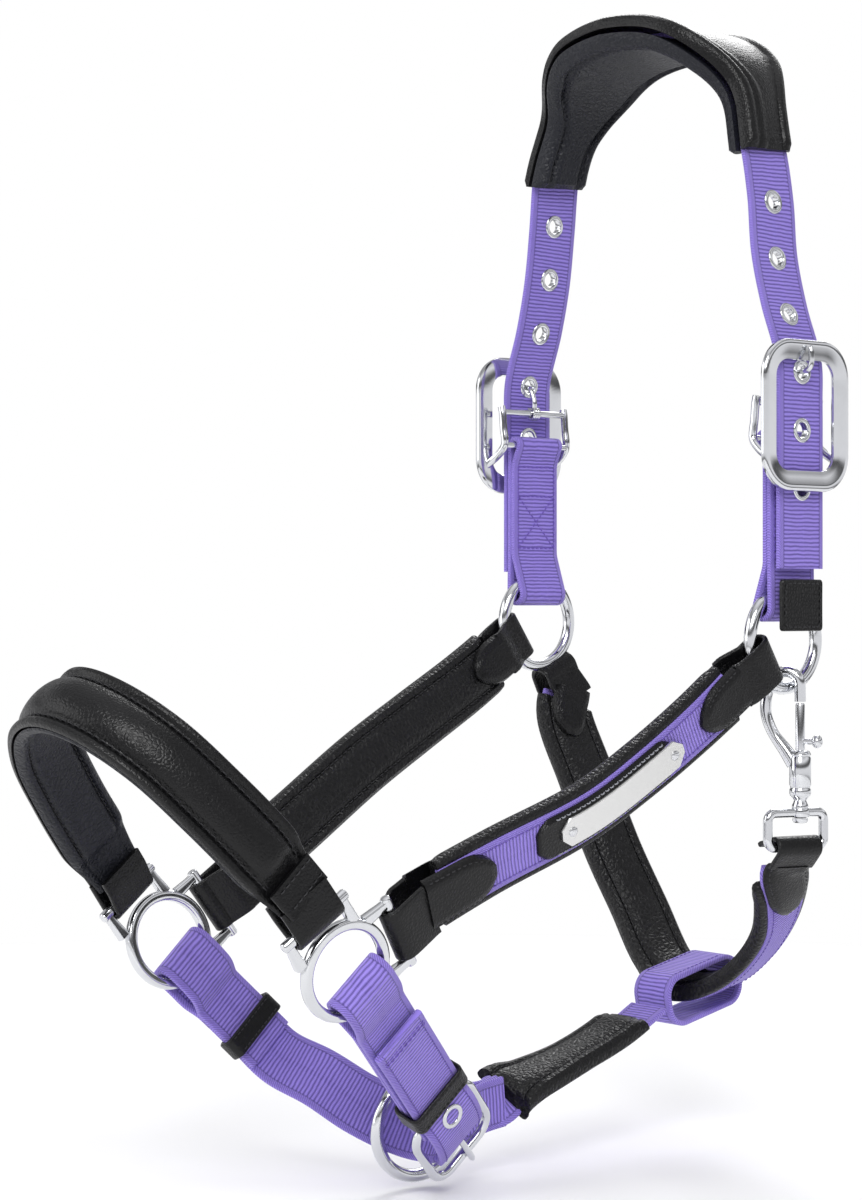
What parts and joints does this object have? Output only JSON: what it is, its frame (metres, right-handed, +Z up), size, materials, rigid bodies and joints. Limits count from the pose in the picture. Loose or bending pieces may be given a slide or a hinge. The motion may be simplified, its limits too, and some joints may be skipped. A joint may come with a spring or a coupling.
{
  "type": "horse headcollar",
  "caption": "Padded horse headcollar of ribbed webbing and leather straps with rings, square fittings, tongue buckles, a bolt snap and a lead ring.",
  "frame": {"origin": "poll: middle of the crown pad's underside, where the horse's head carries the headcollar", "axes": "+X towards the horse's tail, -Y the near (left) side, +Z up"},
  "size_m": [0.3355, 0.172, 0.4499],
  "materials": {
    "webbing": "woven, ribbed across its width",
    "leather": "smooth, low sheen",
    "lining": "soft, padded and finely grained",
    "chrome": "polished chrome plate",
    "plate": "brushed, blank"
  },
  "bodies": {
    "headcollar": {"crown_strap": "webbing", "near_chape": "webbing", "far_chape": "webbing", "near_cheek_webbing": "webbing", "far_cheek_webbing": "webbing", "chin_chape": "webbing", "chin_strap": "webbing", "jowl_webbing": "webbing", "throat_webbing": "webbing", "crown_pad_lining": "lining", "near_cheek_padding": "lining", "far_cheek_padding": "lining", "noseband_lining": "lining", "jowl_padding": "lining", "throat_padding": "lining", "crown_pad_outer": "leather", "near_ring_tab": "leather", "near_cheek_ring_leather": "leather", "near_cheek_bar_leather": "leather", "far_cheek_ring_leather": "leather", "far_cheek_bar_leather": "leather", "plate_backing": "leather", "noseband_outer": "leather", "noseband_end_near": "leather", "noseband_end_far": "leather", "chin_keeper_far": "leather", "throat_ring_leather": "leather", "throat_eye_leather": "leather", "near_eyelet_1": "chrome", "near_eyelet_2": "chrome", "near_eyelet_3": "chrome", "near_eyelet_4": "chrome", "near_eyelet_5": "chrome", "far_eyelet_1": "chrome", "far_eyelet_2": "chrome", "far_eyelet_3": "chrome", "far_eyelet_4": "chrome", "near_square_fitting": "chrome", "far_square_fitting": "chrome", "plate_rivet_front": "chrome", "plate_rivet_rear": "chrome", "chin_eyelet": "chrome", "name_plate": "plate"},
    "near_buckle": {"near_buckle_frame": "chrome"},
    "near_tongue": {"near_buckle_tongue": "chrome"},
    "far_buckle": {"far_buckle_frame": "chrome"},
    "far_tongue": {"far_buckle_tongue": "chrome"},
    "chin_buckle": {"chin_buckle_frame": "chrome"},
    "chin_tongue": {"chin_buckle_tongue": "chrome"},
    "near_ring": {"near_ring": "chrome"},
    "far_ring": {"far_ring": "chrome"},
    "lead_ring": {"lead_ring": "chrome"},
    "keeper": {"chin_keeper_near": "leather"},
    "snap_eye": {"snap_eye": "chrome"},
    "snap_hook": {"snap_body": "chrome", "snap_spring": "chrome"},
    "snap_bolt": {"snap_bolt": "chrome"}
  },
  "joints": [
    {"name": "near_buckle_rock", "type": "hinge", "parent": "headcollar", "child": "near_buckle", "pos_m": [0, -0.0712, -0.1565], "axis": [1, 0, 0], "range_deg": [0, 0.8]},
    {"name": "near_tongue_lift", "type": "hinge", "parent": "near_buckle", "child": "near_tongue", "pos_m": [0, -0.0726, -0.1425], "axis": [1, 0, 0], "range_deg": [0, 0.8]},
    {"name": "far_buckle_rock", "type": "hinge", "parent": "headcollar", "child": "far_buckle", "pos_m": [0, 0.0712, -0.1525], "axis": [-1, 0, 0], "range_deg": [0, 0.8]},
    {"name": "far_tongue_lift", "type": "hinge", "parent": "far_buckle", "child": "far_tongue", "pos_m": [0, 0.0726, -0.1385], "axis": [-1, 0, 0], "range_deg": [0, 0.8]},
    {"name": "chin_buckle_rock", "type": "hinge", "parent": "headcollar", "child": "chin_buckle", "pos_m": [-0.13653, -0.02607, -0.40398], "axis": [-0.703, 0.136, -0.698], "range_deg": [-1.2, 1.2]},
    {"name": "chin_tongue_lift", "type": "hinge", "parent": "chin_buckle", "child": "chin_tongue", "pos_m": [-0.13653, -0.02607, -0.40398], "axis": [-0.703, 0.136, -0.698], "range_deg": [0, 1.2]},
    {"name": "near_ring_turn", "type": "hinge", "parent": "headcollar", "child": "near_ring", "pos_m": [0, -0.0705, -0.2334], "axis": [0, -1, 0], "continuous": true},
    {"name": "far_ring_turn", "type": "hinge", "parent": "headcollar", "child": "far_ring", "pos_m": [0, 0.0705, -0.2274], "axis": [0, 1, 0], "continuous": true},
    {"name": "lead_ring_turn", "type": "hinge", "parent": "headcollar", "child": "lead_ring", "pos_m": [-0.1233, 0.0014, -0.4161], "axis": [-0.094, -0.9942, -0.053], "continuous": true},
    {"name": "keeper_slide", "type": "slide", "parent": "headcollar", "child": "keeper", "axis": [0.6963, 0.3302, -0.6373], "range_m": [-0.016, 0]},
    {"name": "snap_eye_tilt", "type": "hinge", "parent": "headcollar", "child": "snap_eye", "pos_m": [0.00217, -0.07501, -0.313], "axis": [0.9659, -0.259, 0], "range_deg": [-0.3, 0.3]},
    {"name": "snap_swivel", "type": "hinge", "parent": "snap_eye", "child": "snap_hook", "pos_m": [0.0041, -0.07552, -0.297], "axis": [0, 0, 1], "range_deg": [-10, 1]},
    {"name": "snap_bolt_slide", "type": "slide", "parent": "snap_hook", "child": "snap_bolt", "axis": [0, 0, 1], "range_m": [-0.007, 0], "stiffness_N_per_m": 250, "springref_m": 0.004, "deforming": ["snap_spring"]}
  ]
}
